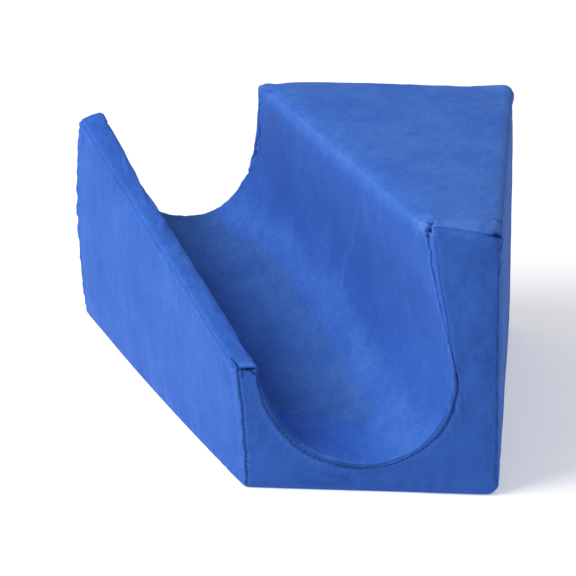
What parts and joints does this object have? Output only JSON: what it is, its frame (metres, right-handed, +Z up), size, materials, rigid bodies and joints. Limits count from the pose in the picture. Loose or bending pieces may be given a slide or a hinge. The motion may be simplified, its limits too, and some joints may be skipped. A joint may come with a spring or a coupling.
{
  "type": "hip abduction pillow",
  "caption": "Wedge-shaped foam leg pillow in a sewn blue cloth cover, with a sloping U-shaped trough for one leg between a low thin wall and a tall, flat-topped, widening wall.",
  "frame": {"origin": "centre of the base, on the surface that the pillow rests on", "axes": "+X across the pillow towards its tall wall, +Y from the narrow front end to the wide back end, +Z up"},
  "size_m": [0.406, 0.3258, 0.2469],
  "materials": {
    "cover": "short-pile brushed cloth"
  },
  "bodies": {
    "root": {"pillow": "cover"}
  },
  "joints": []
}
